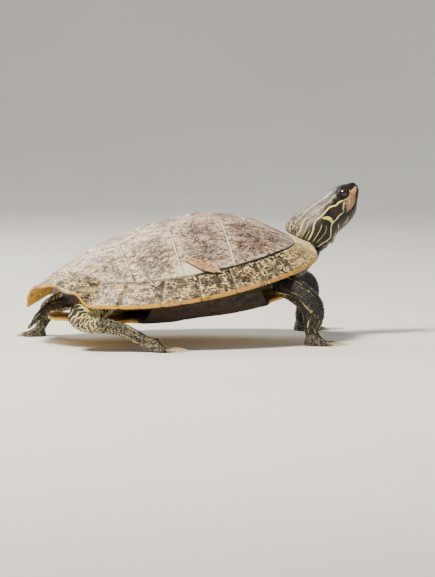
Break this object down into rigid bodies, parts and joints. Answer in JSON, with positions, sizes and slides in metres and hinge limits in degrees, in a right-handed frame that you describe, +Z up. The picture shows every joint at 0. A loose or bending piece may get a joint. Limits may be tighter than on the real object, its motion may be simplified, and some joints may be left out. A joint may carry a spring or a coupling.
{
  "type": "red-eared slider turtle",
  "caption": "Life-size still model of a basking freshwater turtle, standing with its head and neck raised.",
  "frame": {"origin": "centre of the underside of the model's box, on the floor it stands on", "axes": "+X the way the turtle faces, +Y to its left, +Z up"},
  "size_m": [0.2602, 0.1838, 0.1166],
  "materials": {
    "dorsal_scutes": "dry keratin plates, grey-brown with pale seams and tan flecks",
    "marginal_scutes": "dry keratin plates, tan and dark brown with an orange-yellow edge",
    "plastron_scutes": "smooth yellow keratin plates",
    "skin": "scaly near-black olive skin with fine cream-yellow stripes",
    "beak_horn": "tan horn",
    "claw_horn": "grey-brown horn, paler at the tip",
    "eye": "wet, clear cornea over a dark iris"
  },
  "bodies": {
    "root": {"nuchal": "marginal_scutes", "marginals_left": "marginal_scutes", "marginals_right": "marginal_scutes", "vertebral_1": "dorsal_scutes", "vertebral_2": "dorsal_scutes", "vertebral_3": "dorsal_scutes", "vertebral_4": "dorsal_scutes", "vertebral_5": "dorsal_scutes", "costal_left_1": "dorsal_scutes", "costal_left_2": "dorsal_scutes", "costal_left_3": "dorsal_scutes", "costal_left_4": "dorsal_scutes", "costal_right_1": "dorsal_scutes", "costal_right_2": "dorsal_scutes", "costal_right_3": "dorsal_scutes", "costal_right_4": "dorsal_scutes", "plastron": "plastron_scutes", "trunk": "skin", "neck": "skin", "head": "skin", "lower_jaw": "skin", "tail": "skin", "upper_beak": "beak_horn", "eye_left": "eye", "eye_right": "eye", "foreleg_right_upper": "skin", "foreleg_right_lower": "skin", "foreleg_right_foot": "skin", "foreleg_right_claw_1": "claw_horn", "foreleg_right_claw_2": "claw_horn", "foreleg_right_claw_3": "claw_horn", "foreleg_right_claw_4": "claw_horn", "foreleg_right_claw_5": "claw_horn", "foreleg_left_upper": "skin", "foreleg_left_lower": "skin", "foreleg_left_foot": "skin", "foreleg_left_claw_1": "claw_horn", "foreleg_left_claw_2": "claw_horn", "foreleg_left_claw_3": "claw_horn", "foreleg_left_claw_4": "claw_horn", "foreleg_left_claw_5": "claw_horn", "hindleg_right_upper": "skin", "hindleg_right_lower": "skin", "hindleg_right_foot": "skin", "hindleg_right_claw_1": "claw_horn", "hindleg_right_claw_2": "claw_horn", "hindleg_right_claw_3": "claw_horn", "hindleg_right_claw_4": "claw_horn", "hindleg_left_upper": "skin", "hindleg_left_lower": "skin", "hindleg_left_foot": "skin", "hindleg_left_claw_1": "claw_horn", "hindleg_left_claw_2": "claw_horn", "hindleg_left_claw_3": "claw_horn", "hindleg_left_claw_4": "claw_horn"}
  },
  "joints": []
}
